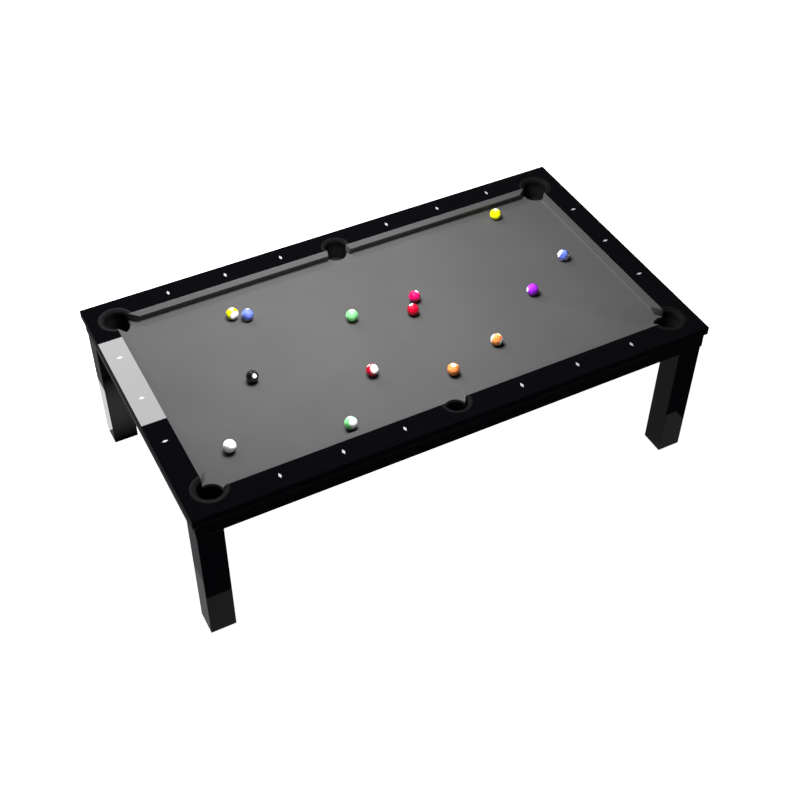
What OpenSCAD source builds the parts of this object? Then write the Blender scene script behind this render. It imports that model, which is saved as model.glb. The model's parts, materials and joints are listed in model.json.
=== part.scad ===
// Eight-foot pool table: a three-piece slate bed on a timber frame and four square legs,
// mitred top rails with cloth-covered cushions, six drop pockets, and a game in play.
// Millimetres. The origin is on the floor under the middle of the bed, +X runs along the
// length, +Y across to the far long rail, +Z up.

/* [Playing field] */
// Length between the noses of the two end cushions
play_l = 2235; // [1850:5:2700]
// Width between the noses of the two long cushions
play_w = 1118; // [930:1:1350]
// Height of the top rails above the floor
table_h = 780; // [650:1:940]
// Thickness of the playing cloth
cloth_t = 1; // [0.8:0.1:1.5]
// Diameter of a ball
ball_d = 57.15; // [48:0.05:68]

/* [Rails and cushions] */
// Width of the lacquered top of a long rail
long_rail_w = 122; // [105:1:150]
// Width of the lacquered top of an end rail
end_rail_w = 116; // [100:1:145]
// Height of the rails above the cloth
rail_t = 44; // [40:1:52]
// Radius of the outer edges of rails and aprons
edge_r = 2.5; // [1:0.5:5]
// Width of a cushion from the rail to its nose
cushion_w = 35; // [30:0.5:42]
// Drop of the nose below the top of the rail
nose_drop = 7.5; // [4:0.5:12]
// How far the foot of a cushion lies behind its nose
cushion_undercut = 12; // [6:0.5:16]
// Thickness of the hard facing at each end of a cushion
facing_t = 5; // [3:0.5:8]

/* [Pockets] */
// Distance of a corner pocket's centre beyond both nose lines
corner_out = 20.5; // [17:0.5:25]
// Distance of a side pocket's centre beyond the nose line
side_out = 46; // [40:0.5:54]
// Opening of a corner pocket
corner_throat_d = 113; // [104:1:136]
// Opening of a side pocket
side_throat_d = 101; // [94:1:108]
// Outside diameter of a corner pocket's liner
corner_liner_d = 166.8; // [150:0.2:180]
// Outside diameter of a side pocket's liner
side_liner_d = 140.6; // [128:0.2:150]
// Distance from the corner of the nose lines back to the end of a cushion's nose
corner_setback = 85; // [75:1:98]
// Angle between a cushion's nose and its jaw at a corner pocket
corner_jaw_a = 140; // [136:1:144]
// Gap between the two noses at a side pocket
side_mouth = 121; // [112:1:130]
// Angle between a cushion's nose and its jaw at a side pocket
side_jaw_a = 106; // [102:1:110]
// Depth from the top of the rail to the floor of the pocket
pocket_depth = 112; // [96:1:114]
// Wall of the pocket cup
cup_wall = 3; // [2:0.5:4]

/* [Bed] */
// Thickness of the slate
slate_t = 25; // [19:1:30]
// How far the slate runs on beyond the nose lines
slate_margin = 80; // [74:1:84]
// Width of the beams under the slate
beam_w = 45; // [36:1:54]

/* [Aprons and legs] */
// Height of the aprons
apron_h = 80; // [76:1:100]
// Thickness of the aprons
apron_t = 25; // [19:1:30]
// Overhang of the rails beyond the aprons
rail_overhang = 10; // [6:1:14]
// Side of a square leg
leg_w = 119.5; // [100:0.5:144]
// Step back from the face of the apron to the face of the leg
leg_step = 3; // [1:0.5:6]
// Thickness of the steel plate on top of a leg
plate_t = 6; // [4:0.5:7]
// Radius of a levelling foot
foot_r = 28; // [22:1:34]

/* [Sights] */
// Long diagonal of a diamond sight, across the rail
sight_l = 30; // [24:1:36]
// Short diagonal of a diamond sight
sight_w = 14; // [10:1:18]
// Distance of the sights from the inner edge of the rail
sight_in = 54; // [48:1:60]
// Distance from the end nose line to the nearest sight of a long rail
long_sight_gap = 247.5; // [200:0.5:300]
// Distance from the side nose line to where an unshifted outer end sight would be
end_sight_gap = 271; // [230:1:325]
// Shift of the end-rail sights towards the far long rail
end_sight_shift = 37; // [0:1:44]
// Shift of the long-rail sights towards the right-hand end
long_sight_shift = 14; // [0:1:30]

/* [Hidden] */
$fn = 72;
SIDES = [-1, 1];
CORNERS = [["front_left", -1, -1], ["front_right", 1, -1], ["back_left", -1, 1], ["back_right", 1, 1]];
LONG_SIDES = [["front", -1], ["back", 1]];
END_SIDES = [["left", -1], ["right", 1]];
SLATES = [["left", -1], ["middle", 0], ["right", 1]];
// Balls in play: node, place along X and Y on a bed of the size LAID_ON, and colour
LAID_ON = [2235, 1118];
BALLS = [
    ["ball_cue", -972, -387, "ivory"],
    ["ball_1", 845, 487, "gold"],
    ["ball_2", -578, 349, "navy"],
    ["ball_3", 176, 109, "crimson"],
    ["ball_4", 699, -104, "indigo"],
    ["ball_5", 94, -410, "orangered"],
    ["ball_6", -148, 121, "darkgreen"],
    ["ball_7", 125, 28, "maroon"],
    ["ball_8", -721, -43, "black"],
    ["ball_9", -638, 388, "gold"],
    ["ball_10", 971, 50, "navy"],
    ["ball_11", -231, -250, "crimson"],
    ["ball_13", 367, -329, "orangered"],
    ["ball_14", -459, -499, "darkgreen"]];

// Clearances
seat_gap = 0.2;      // between a liner and its seat in the rail
thread_gap = 0.05;   // between a screw and the hole that it cuts its thread in
run_gap = 0.05;      // round the stem of a levelling foot
rest_gap = 0.3;      // under a ball, and over a levelling foot
drill_gap = 1;       // round a bolt or a screw that passes through

// Plan lines, from the middle of the bed outward
nose_x = play_l / 2;
nose_y = play_w / 2;
rail_in_x = nose_x + cushion_w;
rail_in_y = nose_y + cushion_w;
rail_out_x = rail_in_x + end_rail_w;
rail_out_y = rail_in_y + long_rail_w;
slate_x = nose_x + slate_margin;
slate_y = nose_y + slate_margin;
apron_in_x = rail_out_x - rail_overhang - apron_t;
apron_in_y = rail_out_y - rail_overhang - apron_t;
leg_x = rail_out_x - rail_overhang - leg_step - leg_w / 2;
leg_y = rail_out_y - rail_overhang - leg_step - leg_w / 2;
corner_x = nose_x + corner_out;
corner_y = nose_y + corner_out;
side_y = nose_y + side_out;

// Heights
rail_z = table_h - rail_t;
slate_top_z = rail_z - cloth_t;
slate_z = slate_top_z - slate_t;
apron_z = rail_z - apron_h;
plate_top_z = apron_z + plate_t;
cup_floor_z = table_h - pocket_depth;
leg_z = 2;
all_h = 2 * table_h;

// Pockets
corner_throat_r = corner_throat_d / 2;
side_throat_r = side_throat_d / 2;
hole_margin = 5.5;          // slate hole beyond the throat, which leaves room for cup and cloth
channel_share = 0.9;        // width of the way out of a slate hole, against its diameter
channel_reach = 160;        // past the edge of the slate on every size
groove_share = 0.45;        // place of the liner's groove between throat and outside
liner_crown = 1;            // height of the liner's bead above the rail
bead_edge = 1;              // foot of the bead below the top of the rail
groove_depth = 4;           // bottom of the groove below the top of the rail
lip_edge = 1.5;             // top of the inner lip below the rail, and from the groove
lip_fall = 9;               // fall of the inner lip from the groove to the throat
lip_h = 18;                 // cloth folded down into a pocket
cup_lip_drop = 6;           // lip of the cup below the slate, on the side of the bed
flange_t = 3;
flange_reach = 95;          // from the pocket's centre to the end of the cup's flange
flange_edge = 1.5;          // from the flange to the slate and to the aprons
flange_share = 0.8;         // width of the flange's neck, against the cup's diameter

// Frame under the slate
beam_clear = 5.5;           // from a long beam to a corner cup
end_beam_clear = 30;        // from an end cross beam to a corner cup
beam_y = corner_y - corner_throat_r - cup_wall - beam_clear - beam_w / 2;
end_beam_x = corner_x - corner_throat_r - cup_wall - end_beam_clear - beam_w / 2;
seam_x = slate_x / 3;
block_edge = 3;             // from a corner block to the slate
block_top_drop = 14;        // top of a corner block below the rails

// Fasteners
bolt_r = 5;
bolt_head_r = 9;
bolt_head_h = 6.5;
washer_r = 12;
washer_t = 2;
bolt_bite = 28;             // length of a rail bolt in the rail
screw_r = 2.5;
screw_head_r = 5;
screw_head_h = 3;
bolt_line_x = (rail_in_x + slate_x) / 2;
bolt_line_y = (rail_in_y + slate_y) / 2;
long_bolts = [for (share = [0.18, 0.5, 0.82], s = SIDES) s * share * nose_x];
end_bolts = [for (share = [-0.6, 0, 0.6]) share * nose_y];
slate_screw_y = 0.45 * nose_y;
slate_screw_in = beam_w / 4;
slate_screw_x = [seam_x - slate_screw_in, seam_x + slate_screw_in, end_beam_x];
slate_screw_l = 40;
plate_screw_l = 45;
plate_edge = 2;             // from a leg's plate to the inner faces of the leg
sunk = 0.5;                 // head of a slate screw below the slate, and its tip off the bottom of its hole
plate_screw_in = 14;
flange_screw_l = 20;
flange_screw_in = 12;

// Levelling feet
foot_t = 6;
stem_r = 6;
stem_l = 64;
recess_gap = 2;             // round the disc of a foot, in the leg
bore_spare = 6;             // bore beyond the end of the stem
leg_edge_r = 3;

sight_t = 1.5;
long_sight_pitch = (nose_x - long_sight_gap) / 3;
end_sight_pitch = nose_y - end_sight_gap;
foot_lift = 1;              // gap between the foot of a cushion and the cloth
nose_half = 2;              // half the height of the flat nose of a cushion
corner_jaw_run = cushion_w / tan(180 - corner_jaw_a);
side_jaw_run = -cushion_w / tan(180 - side_jaw_a);

// ---------- helpers ----------

// Puts a shape drawn for the back right corner at any corner, or a back one at the front
module to_side(sx, sy) {
    mirror([sx < 0 ? 1 : 0, 0, 0]) mirror([0, sy < 0 ? 1 : 0, 0]) children();
}

module box(low, high) {
    translate(low) cube(high - low);
}

function arc(x, y, r, from, to, steps = 3) =
    [for (i = [0:steps]) let (a = from + (to - from) * i / steps) [x + r * cos(a), y + r * sin(a)]];

function swap(p) = [p[1], p[0]];

// Bar along X whose section lies on +Y of its inner face: u outward, v up
module bar_along_x(half_l, in_y, z) {
    translate([-half_l, in_y, z]) rotate([90, 0, 90]) linear_extrude(2 * half_l) children();
}

// Bar with rounded outer edges and ends mitred at 45 degrees, from its outer corner inward
module mitred_bar(half_l, in_y, w, z, h) {
    intersection() {
        bar_along_x(half_l, in_y, z)
            polygon(concat(
                [[0, 0]],
                arc(w - edge_r, edge_r, edge_r, -90, 0),
                arc(w - edge_r, h - edge_r, edge_r, 0, 90),
                [[0, h]]));
        translate([0, 0, z]) linear_extrude(h)
            polygon([[-half_l, in_y + w], [half_l, in_y + w], [half_l - w, in_y], [w - half_l, in_y]]);
    }
}

// Upright prism over a round-cornered square
module rounded_post(w, r, h) {
    c = w / 2 - r;
    linear_extrude(h)
        polygon(concat(
            arc(c, c, r, 0, 90), arc(-c, c, r, 90, 180),
            arc(-c, -c, r, 180, 270), arc(c, -c, r, 270, 360)));
}

// Round hole with a way out along +X
module keyhole(r) {
    cylinder(h = all_h, r = r);
    translate([0, -channel_share * r, 0]) cube([channel_reach, 2 * channel_share * r, all_h]);
}

// The six holes in the bed, open towards the outside
module bed_holes(shrink = 0) {
    for (sx = SIDES, sy = SIDES)
        translate([sx * corner_x, sy * corner_y, 0]) rotate(sy * (sx > 0 ? 45 : 135))
            keyhole(corner_throat_r + hole_margin - shrink);
    for (sy = SIDES)
        translate([0, sy * side_y, 0]) rotate(sy * 90)
            keyhole(side_throat_r + hole_margin - shrink);
}

module bolt_line(r, z, h) {
    for (x = long_bolts, sy = SIDES) translate([x, sy * bolt_line_y, z]) cylinder(h = h, r = r);
    for (y = end_bolts, sx = SIDES) translate([sx * bolt_line_x, y, z]) cylinder(h = h, r = r);
}

module slate_screw_points(z) {
    for (x = slate_screw_x, sx = SIDES, sy = SIDES) translate([sx * x, sy * slate_screw_y, z]) children();
}

module plate_screw_points(z) {
    low = [leg_x - leg_w / 2 + plate_screw_in, leg_y + leg_w / 2 - apron_t - plate_screw_in];
    for (sx = SIDES, sy = SIDES) to_side(sx, sy) {
        translate([low[0], low[1], z]) children();
        translate([leg_x + leg_w / 2 - apron_t - plate_screw_in, leg_y - leg_w / 2 + plate_screw_in, z])
            children();
    }
}

module flange_screw_points(z) {
    strip_x = (slate_x + apron_in_x) / 2;
    strip_y = (slate_y + apron_in_y) / 2;
    along = flange_reach - flange_screw_in;
    for (sx = SIDES, sy = SIDES) to_side(sx, sy) {
        translate([strip_x, corner_y - along, z]) children();
        translate([corner_x - along, strip_y, z]) children();
        translate([along, strip_y, z]) children();
    }
}

module beam_holes() {
    slate_screw_points(slate_top_z - slate_screw_l) cylinder(h = slate_screw_l, r = screw_r + thread_gap);
}

// ---------- legs and feet ----------

module leg(sx, sy) {
    bore_h = stem_l + bore_spare;
    recess_top = foot_t + rest_gap;
    color([0.03, 0.03, 0.035])
        difference() {
            translate([sx * leg_x, sy * leg_y, leg_z]) rounded_post(leg_w, leg_edge_r, apron_z - leg_z);
            translate([sx * leg_x, sy * leg_y, 0]) {
                cylinder(h = recess_top, r = foot_r + recess_gap);
                cylinder(h = recess_top + bore_h, r = stem_r + run_gap);
            }
            plate_screw_points(plate_top_z - plate_screw_l)
                cylinder(h = plate_screw_l, r = screw_r + thread_gap);
        }
}

module foot(sx, sy) {
    color("dimgray")
        translate([sx * leg_x, sy * leg_y, 0]) {
            cylinder(h = foot_t, r = foot_r);
            cylinder(h = foot_t + stem_l, r = stem_r);
        }
}

module leg_plates() {
    low = [leg_x - leg_w / 2 + plate_edge, leg_y - leg_w / 2 + plate_edge, apron_z];
    color("gray")
        difference() {
            for (sx = SIDES, sy = SIDES)
                to_side(sx, sy) box(low, [apron_in_x, apron_in_y, plate_top_z]);
            plate_screw_points(plate_top_z - screw_head_h)
                cylinder(h = screw_head_h, r1 = screw_r + thread_gap, r2 = screw_head_r + thread_gap);
            plate_screw_points(apron_z) cylinder(h = plate_t, r = screw_r + thread_gap);
        }
}

// ---------- cabinet ----------

module apron_long(sy) {
    color([0.03, 0.03, 0.035])
        to_side(1, sy) mitred_bar(apron_in_x + apron_t, apron_in_y, apron_t, apron_z, apron_h);
}

module apron_end(sx) {
    color([0.03, 0.03, 0.035])
        to_side(sx, 1) rotate(-90) mitred_bar(apron_in_y + apron_t, apron_in_x, apron_t, apron_z, apron_h);
}

module corner_blocks() {
    color("tan")
        for (sx = SIDES, sy = SIDES)
            to_side(sx, sy)
                box([slate_x + block_edge, slate_y + block_edge, plate_top_z],
                    [apron_in_x, apron_in_y, rail_z - block_top_drop]);
}

module long_beams() {
    color("burlywood")
        for (sy = SIDES)
            to_side(1, sy)
                box([-apron_in_x, beam_y - beam_w / 2, apron_z], [apron_in_x, beam_y + beam_w / 2, slate_z]);
}

module cross_beams() {
    in_y = beam_y - beam_w / 2;
    out_y = beam_y + beam_w / 2;
    color("burlywood")
        difference() {
            for (x = [-end_beam_x, -seam_x, seam_x, end_beam_x]) {
                box([x - beam_w / 2, -in_y, apron_z], [x + beam_w / 2, in_y, slate_z]);
                box([x - beam_w / 2, out_y, apron_z], [x + beam_w / 2, apron_in_y, slate_z]);
                box([x - beam_w / 2, -apron_in_y, apron_z], [x + beam_w / 2, -out_y, slate_z]);
            }
            beam_holes();
        }
}

// ---------- bed ----------

// One third of the slate: -1 left, 0 middle, 1 right
module slate(third) {
    x = third * 2 * seam_x;
    color("slategray")
        difference() {
            box([x - seam_x, -slate_y, slate_z], [x + seam_x, slate_y, slate_top_z]);
            bed_holes();
            bolt_line(bolt_r + drill_gap, 0, all_h);
            slate_screw_points(0) cylinder(h = all_h, r = screw_r + thread_gap);
            slate_screw_points(slate_top_z - screw_head_h) cylinder(h = all_h, r = screw_head_r + drill_gap);
        }
}

// Cloth over the bed, with its edges folded down into the pockets
module cloth() {
    color([0.45, 0.45, 0.46])
        difference() {
            union() {
                box([-slate_x, -slate_y, slate_top_z], [slate_x, slate_y, rail_z]);
                intersection() {
                    box([-slate_x, -slate_y, slate_top_z - lip_h], [slate_x, slate_y, rail_z]);
                    bed_holes(run_gap);
                }
            }
            bed_holes(cloth_t);
            bolt_line(bolt_r + drill_gap, 0, all_h);
        }
}

// ---------- rails ----------

module liner_seats() {
    for (sx = SIDES, sy = SIDES)
        translate([sx * corner_x, sy * corner_y, 0]) cylinder(h = all_h, r = corner_liner_d / 2 + seat_gap);
    for (sy = SIDES)
        translate([0, sy * side_y, 0]) cylinder(h = all_h, r = side_liner_d / 2 + seat_gap);
}

// Everything that is cut into the rails
module rail_cuts() {
    liner_seats();
    sights_at(sight_t);
    bolt_line(bolt_r + thread_gap, rail_z, bolt_bite);
    flange_screw_points(rail_z) cylinder(h = flange_screw_l - flange_t, r = screw_r + thread_gap);
}

module rail_long(sy) {
    color([0.02, 0.02, 0.025])
        difference() {
            to_side(1, sy) mitred_bar(rail_out_x, rail_in_y, long_rail_w, rail_z, rail_t);
            rail_cuts();
        }
}

module rail_end(sx) {
    color([0.02, 0.02, 0.025])
        difference() {
            to_side(sx, 1) rotate(-90) mitred_bar(rail_out_y, rail_in_x, end_rail_w, rail_z, rail_t);
            rail_cuts();
        }
}

// Diamond inlays in the top of the rails
module sights_at(depth) {
    long_way = [[sight_w / 2, 0], [0, sight_l / 2], [-sight_w / 2, 0], [0, -sight_l / 2]];
    translate([0, 0, table_h - depth]) {
        for (k = [1, 2, 3], sx = SIDES, sy = SIDES)
            translate([sx * k * long_sight_pitch + long_sight_shift, sy * (rail_in_y + sight_in), 0])
                linear_extrude(depth) polygon(long_way);
        for (k = [-1, 0, 1], sx = SIDES)
            translate([sx * (rail_in_x + sight_in), k * end_sight_pitch + end_sight_shift, 0])
                linear_extrude(depth) polygon([for (p = long_way) swap(p)]);
    }
}

module sights() {
    color("ivory") sights_at(sight_t);
}

// ---------- cushions ----------

// Cushion section along X, v up from the cloth, with its back on the rail at in_y
module cushion_bar(half_l, in_y) {
    nose_v = rail_t - nose_drop;
    bar_along_x(half_l, in_y, rail_z)
        polygon([
            [0, foot_lift], [0, rail_t], [-cushion_w, nose_v + nose_half],
            [-cushion_w, nose_v - nose_half], [cushion_undercut - cushion_w, foot_lift]]);
}

// Cushion between two jaws: each end has its place on the nose line and its run to the back
module cushion_piece(from, from_run, to, to_run, in_y) {
    intersection() {
        cushion_bar(2 * play_l, in_y);
        linear_extrude(all_h)
            polygon([
                [from, in_y - cushion_w], [to, in_y - cushion_w],
                [to + to_run, in_y], [from - from_run, in_y]]);
    }
}

corner_slant = facing_t / sin(180 - corner_jaw_a);
side_slant = facing_t / sin(180 - side_jaw_a);
side_end = side_mouth / 2;
long_end = nose_x - corner_setback;
short_end = nose_y - corner_setback;

module cushion_long(sx, sy) {
    color([0.5, 0.5, 0.51])
        to_side(sx, sy)
            cushion_piece(
                side_end + side_slant, -side_jaw_run,
                long_end - corner_slant, corner_jaw_run, rail_in_y);
}

module cushion_end(sx) {
    end = short_end - corner_slant;
    color([0.5, 0.5, 0.51])
        to_side(sx, 1) rotate(-90) cushion_piece(-end, corner_jaw_run, end, corner_jaw_run, rail_in_x);
}

// Slab of one jaw: a strip of the cushion section parallel to the jaw
module facing(at, slant, run, in_y) {
    intersection() {
        cushion_bar(2 * play_l, in_y);
        linear_extrude(all_h)
            polygon([
                [at, in_y - cushion_w], [at + slant, in_y - cushion_w],
                [at + slant + run, in_y], [at + run, in_y]]);
    }
}

module cushion_facings() {
    color("dimgray")
        for (sx = SIDES, sy = SIDES)
            to_side(sx, sy) {
                facing(side_end, side_slant, side_jaw_run, rail_in_y);
                facing(long_end - corner_slant, corner_slant, corner_jaw_run, rail_in_y);
                mirror([1, -1, 0]) facing(short_end - corner_slant, corner_slant, corner_jaw_run, rail_in_x);
            }
}

// ---------- pockets ----------

// Rubber ring: a bead on the outside, a groove, and an inner lip that falls into the pocket
module liner_ring(out_r, throat_r) {
    groove_r = throat_r + groove_share * (out_r - throat_r);
    bead = (out_r - groove_r) / 2;
    crown = [for (a = [0:20:180])
        [groove_r + bead + bead * cos(a), rail_t - bead_edge + (liner_crown + bead_edge) * sin(a)]];
    lip_out = groove_r - lip_edge;
    rotate_extrude()
        polygon(concat(
            [[throat_r, 0], [out_r, 0]], crown,
            [[groove_r, rail_t - groove_depth]],
            [for (t = [0:0.25:1])
                [lip_out - (lip_out - throat_r) * t, rail_t - lip_edge - lip_fall * t * t]]));
}

module inside_rails() {
    translate([-rail_in_x, -rail_in_y, 0]) cube([2 * rail_in_x, 2 * rail_in_y, all_h]);
}

module liner_corner(sx, sy) {
    color([0.12, 0.12, 0.12])
        to_side(sx, sy)
            difference() {
                translate([corner_x, corner_y, rail_z]) liner_ring(corner_liner_d / 2, corner_throat_r);
                inside_rails();
            }
}

module liner_side(sy) {
    color([0.12, 0.12, 0.12])
        to_side(1, sy)
            difference() {
                translate([0, side_y, rail_z]) liner_ring(side_liner_d / 2, side_throat_r);
                inside_rails();
            }
}

// Round cup, closed below, its wall up to the underside of the liner
module cup_wall_and_floor(throat_r) {
    translate([0, 0, cup_floor_z - cup_wall])
        cylinder(h = rail_z - cup_floor_z + cup_wall, r = throat_r + cup_wall);
}

module cup_hollow(throat_r) {
    translate([0, 0, cup_floor_z]) cylinder(h = all_h, r = throat_r);
}

// Takes the cup's lip down below the bed where the balls roll in
module bed_side_cut() {
    translate([0, 0, slate_top_z - cup_lip_drop]) inside_rails();
}

module cup_corner(sx, sy) {
    neck = flange_share * (corner_throat_r + cup_wall);
    far_x = apron_in_x - flange_edge;
    far_y = apron_in_y - flange_edge;
    near_x = slate_x + flange_edge;
    near_y = slate_y + flange_edge;
    flange_z = rail_z - flange_t;
    color([0.1, 0.1, 0.1])
        to_side(sx, sy)
            difference() {
                union() {
                    translate([corner_x, corner_y, 0]) cup_wall_and_floor(corner_throat_r);
                    box([near_x, corner_y - flange_reach, flange_z], [far_x, far_y, rail_z]);
                    box([corner_x - flange_reach, near_y, flange_z], [far_x, far_y, rail_z]);
                    intersection() {
                        box([0, 0, flange_z], [far_x, far_y, rail_z]);
                        translate([corner_x, corner_y, 0]) rotate(45)
                            translate([0, -neck, 0]) cube([flange_reach, 2 * neck, all_h]);
                    }
                }
                translate([corner_x, corner_y, 0]) cup_hollow(corner_throat_r);
                bed_side_cut();
                flange_screw_points(0) cylinder(h = all_h, r = screw_r + thread_gap);
            }
}

module cup_side(sy) {
    neck = flange_share * (side_throat_r + cup_wall);
    flange_z = rail_z - flange_t;
    color([0.1, 0.1, 0.1])
        to_side(1, sy)
            difference() {
                union() {
                    translate([0, side_y, 0]) cup_wall_and_floor(side_throat_r);
                    box([-flange_reach, slate_y + flange_edge, flange_z],
                        [flange_reach, apron_in_y - flange_edge, rail_z]);
                    box([-neck, side_y, flange_z], [neck, slate_y + 2 * flange_edge, rail_z]);
                }
                translate([0, side_y, 0]) cup_hollow(side_throat_r);
                bed_side_cut();
                flange_screw_points(0) cylinder(h = all_h, r = screw_r + thread_gap);
            }
}

// ---------- fasteners ----------

// Hexagon bolts with washers, up through the slate into the rails
module rail_bolts() {
    color("silver") {
        bolt_line(bolt_r, slate_z - washer_t, slate_t + cloth_t + washer_t + bolt_bite);
        bolt_line(washer_r, slate_z - washer_t, washer_t);
        bolt_heads();
    }
}

module bolt_heads() {
    z = slate_z - washer_t - bolt_head_h;
    for (x = long_bolts, sy = SIDES)
        translate([x, sy * bolt_line_y, z]) cylinder(h = bolt_head_h, r = bolt_head_r, $fn = 6);
    for (y = end_bolts, sx = SIDES)
        translate([sx * bolt_line_x, y, z]) cylinder(h = bolt_head_h, r = bolt_head_r, $fn = 6);
}

// Screws that hold the slate to the beams, the plates to the legs and the cups to the rails
module wood_screws() {
    color("gainsboro") {
        slate_screw_points(slate_top_z - slate_screw_l) cylinder(h = slate_screw_l - sunk, r = screw_r);
        slate_screw_points(slate_top_z - screw_head_h) cylinder(h = screw_head_h - sunk, r = screw_head_r);
        plate_screw_points(plate_top_z - plate_screw_l) cylinder(h = plate_screw_l, r = screw_r);
        plate_screw_points(plate_top_z - screw_head_h)
            cylinder(h = screw_head_h, r1 = screw_r, r2 = screw_head_r);
        flange_screw_points(rail_z - flange_t) cylinder(h = flange_screw_l, r = screw_r);
        flange_screw_points(rail_z - flange_t - screw_head_h) cylinder(h = screw_head_h, r = screw_head_r);
    }
}

// ---------- balls ----------

// A ball keeps its share of the playing field when the field changes
module ball(b) {
    x = b[1] * play_l / LAID_ON[0];
    y = b[2] * play_w / LAID_ON[1];
    color(b[3]) translate([x, y, rail_z + rest_gap + ball_d / 2]) sphere(d = ball_d);
}

// ---------- nodes ----------

for (c = CORNERS) {
    leg(c[1], c[2]);
    foot(c[1], c[2]);
    cushion_long(c[1], c[2]);
    liner_corner(c[1], c[2]);
    cup_corner(c[1], c[2]);
}
for (s = LONG_SIDES) {
    apron_long(s[1]);
    rail_long(s[1]);
    liner_side(s[1]);
    cup_side(s[1]);
}
for (s = END_SIDES) {
    apron_end(s[1]);
    rail_end(s[1]);
    cushion_end(s[1]);
}
for (s = SLATES) slate(s[1]);
for (b = BALLS) ball(b);
corner_blocks();
leg_plates();
long_beams();
cross_beams();
cloth();
cushion_facings();
sights();
rail_bolts();
wood_screws();
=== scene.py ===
import json
import math

import bmesh
import bpy
from mathutils import Matrix, Vector


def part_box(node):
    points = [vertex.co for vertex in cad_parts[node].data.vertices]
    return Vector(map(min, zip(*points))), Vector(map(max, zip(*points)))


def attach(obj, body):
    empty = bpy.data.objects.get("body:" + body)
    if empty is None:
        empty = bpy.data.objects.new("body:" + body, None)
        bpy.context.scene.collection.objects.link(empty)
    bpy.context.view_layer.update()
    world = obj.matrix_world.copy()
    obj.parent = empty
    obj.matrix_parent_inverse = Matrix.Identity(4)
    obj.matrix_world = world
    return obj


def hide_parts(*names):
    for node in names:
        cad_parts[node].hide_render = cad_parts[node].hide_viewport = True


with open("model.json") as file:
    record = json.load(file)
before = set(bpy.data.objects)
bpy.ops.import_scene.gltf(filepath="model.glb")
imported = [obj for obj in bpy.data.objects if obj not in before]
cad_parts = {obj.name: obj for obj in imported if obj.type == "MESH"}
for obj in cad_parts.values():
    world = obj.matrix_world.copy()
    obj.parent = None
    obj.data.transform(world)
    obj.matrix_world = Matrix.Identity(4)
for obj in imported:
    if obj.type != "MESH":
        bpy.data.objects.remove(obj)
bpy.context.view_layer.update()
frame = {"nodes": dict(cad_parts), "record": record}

# A pool table. Its frame, rails, slate, timber and metal are the nodes of the CAD model with
# procedural finishes. The bed cloth folded down into the pockets, the six covered cushions, the
# six rubber pocket liners and the fourteen balls are built here in place of the CAD's.
# Metres, in the frame of the CAD model.

MM = 0.001
MERGE = 0.001 * MM      # points nearer than this are one point
NEAR = 0.1 * MM         # heights and distances nearer than this are the same

# ---------- places, read from the frame ----------

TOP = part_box("rail_front")[1].z
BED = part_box("cloth")[1].z
BED_HALF = Vector(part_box("cloth")[1]).to_2d()
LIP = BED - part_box("cloth")[0].z     # how far the cloth folds down into the pockets
RAIL_IN = Vector((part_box("cushion_right")[1].x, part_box("cushion_back_left")[1].y))
RAIL_OUT = Vector((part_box("rail_right")[1].x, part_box("rail_back")[1].y))
BALL_R = (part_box("ball_8")[1].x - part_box("ball_8")[0].x) / 2
CORNERS = {
    "front_left": (-1, -1), "front_right": (1, -1), "back_left": (-1, 1), "back_right": (1, 1)}
SIDES = {"front": (0, -1), "back": (0, 1)}
POCKETS = {**CORNERS, **SIDES}


def pocket_centre(name):
    """Middle of a pocket in plan, from the opening that the record states."""
    openings = frame["record"]["physics"]["openings"]
    opening = next(o for o in openings if o["name"] == "pocket_" + name)
    low, high = opening["box_m"]
    return Vector(((low[0] + high[0]) / 2, (low[1] + high[1]) / 2))


def cad_points(node_name):
    return [v.co for v in frame["nodes"][node_name].data.vertices]


def reach(node_name, centre):
    """Least and greatest distance of a CAD node's points from an upright axis."""
    spans = [(p.to_2d() - centre).length for p in cad_points(node_name)]
    return min(spans), max(spans)


def outward(signs):
    """Direction out of the table through a pocket, in plan."""
    return Vector(signs).normalized()


# ---------- meshes ----------

def new_object(name, data):
    """An object with the given data, in the scene."""
    obj = bpy.data.objects.new(name, data)
    bpy.context.scene.collection.objects.link(obj)
    return obj


def paint_smooth(mesh, materials):
    for made in materials:
        mesh.materials.append(made)
    mesh.polygons.foreach_set("use_smooth", [True] * len(mesh.polygons))


def table_piece(name, mesh, made, sharp):
    """A piece of the table, smooth but for edges sharper than an angle in degrees."""
    paint_smooth(mesh, [made])
    mesh.set_sharp_from_angle(angle=math.radians(sharp))
    obj = new_object(name, mesh)
    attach(obj, "table")
    return obj


def mesh_from(name, points, faces):
    mesh = bpy.data.meshes.new(name)
    mesh.from_pydata([tuple(p) for p in points], [], faces)
    mesh.update()
    return mesh


def face_outward(mesh):
    bm = bmesh.new()
    bm.from_mesh(mesh)
    bmesh.ops.recalc_face_normals(bm, faces=bm.faces)
    bm.to_mesh(mesh)
    bm.free()


def loop_strip(rings, closed_ring=True):
    """Quads between rings of equal length, numbered ring after ring."""
    count = len(rings[0])
    steps = count if closed_ring else count - 1
    faces = []
    for i in range(len(rings) - 1):
        a, b = i * count, (i + 1) * count
        for j in range(steps):
            k = (j + 1) % count
            faces.append((a + j, a + k, b + k, b + j))
    return faces


def capped_sweep(name, rings):
    """A closed tube through rings of equal length, with one flat face at each end."""
    count = len(rings[0])
    last = (len(rings) - 1) * count
    faces = loop_strip(rings)
    faces.append(tuple(range(count)))
    faces.append(tuple(last + j for j in reversed(range(count))))
    return mesh_from(name, [p for ring in rings for p in ring], faces)


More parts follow.
